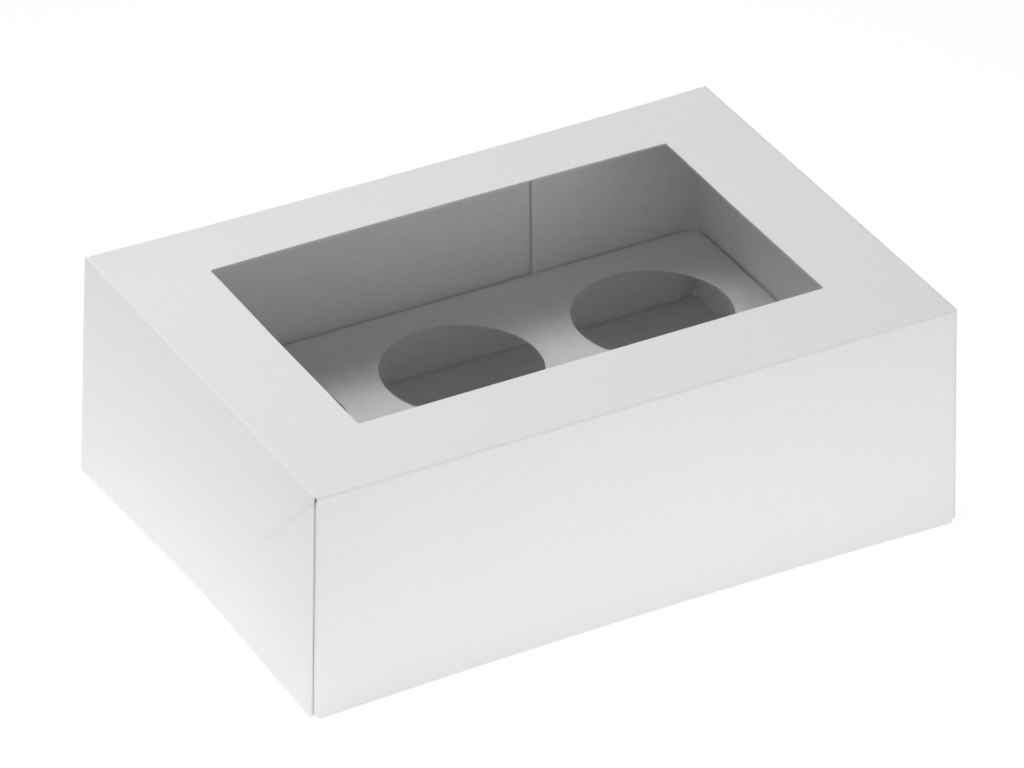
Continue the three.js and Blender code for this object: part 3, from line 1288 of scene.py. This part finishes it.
@dataclass
class Studio:
    """A pale floor on a white ground under soft light.

    Args:
        floor: Half of the floor's width.
        table: The colour of the table that takes the light.
        ground: The colour of the ground.
        ground_share: How much of the ground's white the camera sees in the floor.
        pool_inner: Radius of the full pool of light.
        pool_outer: Radius at which it ends.
        pool_glow: Its strength.
        room_light: Strength of the room's even light.
        lamps: The lamps over the table.
    """

    floor: float = 2.5
    table: str = "#E4E4E4"
    ground: str = "#FFFFFF"
    ground_share: float = 0.93
    pool_inner: float = 0.22
    pool_outer: float = 0.5
    pool_glow: float = 0.6
    room_light: float = 0.17
    lamps: tuple[Lamp, ...] = (
        Lamp("low_back_light", Vector((-0.02, 1.6, 0.4)), size=0.45, power=2.5),
        Lamp("overhead", Vector((-0.35, 0.3, 1.3)), size=0.7, power=11.3),
        Lamp("left_light", Vector((-1.3, -0.3, 0.55)), size=0.7, power=1.6),
        Lamp("front_fill", Vector((0.15, -1.5, 0.4)), size=1.0, power=7.2),
    )

    def build(self) -> None:
        """Lays the floor, lights the world and hangs the lamps."""
        self.lay_floor()
        self.light_world()
        for lamp in self.lamps:
            lamp.hang()

    def lay_floor(self) -> None:
        """Lays a floor that looks white to the camera and still takes soft shadows."""
        mesh = bmesh.new()
        bmesh.ops.create_grid(mesh, x_segments=1, y_segments=1, size=self.floor)
        data = bpy.data.meshes.new("floor")
        mesh.to_mesh(data)
        mesh.free()
        floor = bpy.data.objects.new("floor", data)
        bpy.context.scene.collection.objects.link(floor)
        data.materials.append(self.floor_material())

    def floor_material(self) -> bpy.types.Material:
        """Builds the floor: a matte sheet with a pool of light under the box.

        The camera sees it almost as the white ground, so that only a soft shadow stays.

        Returns:
            The material.
        """
        material, tree = new_material("studio_floor")
        colour = {"Color": linear(self.table), "Roughness": 0.5}
        sheet = add_node(tree, "ShaderNodeBsdfDiffuse", colour)
        place = add_node(tree, "ShaderNodeTexCoord").outputs["Object"]
        distance = add_node(tree, "ShaderNodeVectorMath", {0: place}, operation="LENGTH")
        pool = add_node(
            tree,
            "ShaderNodeMapRange",
            {
                "Value": distance.outputs["Value"],
                "From Min": self.pool_inner,
                "From Max": self.pool_outer,
                "To Min": self.pool_glow,
                "To Max": 0.0,
            },
        )
        lit = add_node(
            tree,
            "ShaderNodeEmission",
            {"Color": linear(self.ground), "Strength": pool.outputs["Result"]},
        )
        table = add_node(
            tree, "ShaderNodeAddShader", {0: sheet.outputs["BSDF"], 1: lit.outputs["Emission"]}
        )
        glow = add_node(tree, "ShaderNodeEmission", {"Color": linear(self.ground), "Strength": 1.0})
        rays = add_node(tree, "ShaderNodeLightPath")
        seen = add_node(
            tree,
            "ShaderNodeMath",
            {0: rays.outputs["Is Camera Ray"], 1: rays.outputs["Is Transmission Ray"]},
            operation="MAXIMUM",
        )
        share = add_node(
            tree, "ShaderNodeMath", {0: seen.outputs[0], 1: self.ground_share}, operation="MULTIPLY"
        )
        mixed = add_node(
            tree,
            "ShaderNodeMixShader",
            {0: share.outputs[0], 1: table.outputs["Shader"], 2: glow.outputs["Emission"]},
        )
        add_node(tree, "ShaderNodeOutputMaterial", {"Surface": mixed.outputs["Shader"]})
        return material

    def light_world(self) -> None:
        """Gives the room its even light and the camera its white ground."""
        world = bpy.data.worlds.new("studio")
        bpy.context.scene.world = world
        world.use_nodes = True
        tree = world.node_tree
        tree.nodes.clear()
        white = linear(self.ground)
        room = add_node(
            tree, "ShaderNodeBackground", {"Color": white, "Strength": self.room_light}
        )
        ground = add_node(tree, "ShaderNodeBackground", {"Color": white, "Strength": 1.0})
        rays = add_node(tree, "ShaderNodeLightPath")
        mixed = add_node(
            tree,
            "ShaderNodeMixShader",
            {
                0: rays.outputs["Is Camera Ray"],
                1: room.outputs["Background"],
                2: ground.outputs["Background"],
            },
        )
        add_node(tree, "ShaderNodeOutputWorld", {"Surface": mixed.outputs["Shader"]})


@dataclass(frozen=True)
class View:
    """The camera's view.

    Args:
        target: The point on the line of sight.
        distance: The camera to that point.
        azimuth: The camera's turn about the box, in degrees.
        elevation: Its height in degrees.
        roll: Its roll in degrees.
        lens: Focal length in millimetres.
        sensor: Width of the sensor in millimetres.
        nearest: Nearest distance that the camera draws.
        farthest: Farthest distance that it draws.
    """

    target: Vector = Vector((32.54 * MM, 62.56 * MM, 0))
    distance: float = 2498.2 * MM
    azimuth: float = -29.55
    elevation: float = 32.86
    roll: float = 0.81
    lens: float = 253.75
    sensor: float = 36
    nearest: float = 0.1
    farthest: float = 20

    def build(self) -> None:
        """Places the camera."""
        az, el, roll = (math.radians(a) for a in (self.azimuth, self.elevation, self.roll))
        level = math.cos(el)
        towards = Vector((math.sin(az) * level, -math.cos(az) * level, math.sin(el)))
        right = UP.cross(towards).normalized()
        above = towards.cross(right)
        turned = math.cos(roll) * right + math.sin(roll) * above
        raised = -math.sin(roll) * right + math.cos(roll) * above
        data = bpy.data.cameras.new("camera")
        data.sensor_fit = "HORIZONTAL"
        data.sensor_width = self.sensor
        data.lens = self.lens
        data.clip_start = self.nearest
        data.clip_end = self.farthest
        camera = bpy.data.objects.new("camera", data)
        bpy.context.scene.collection.objects.link(camera)
        pose = Matrix((turned, raised, towards)).transposed().to_4x4()
        camera.matrix_world = Matrix.Translation(self.target + self.distance * towards) @ pose
        bpy.context.scene.camera = camera


def main() -> None:
    """Builds the box, its studio and its camera."""
    logging.basicConfig(level=logging.INFO, format="%(message)s")
    bpy.context.scene.view_settings.view_transform = "Standard"
    Lid().build()
    Tray().build()
    Insert().build()
    HingeFold().build()
    Film().build()
    Studio().build()
    View().build()


if __name__ == "__main__":
    main()
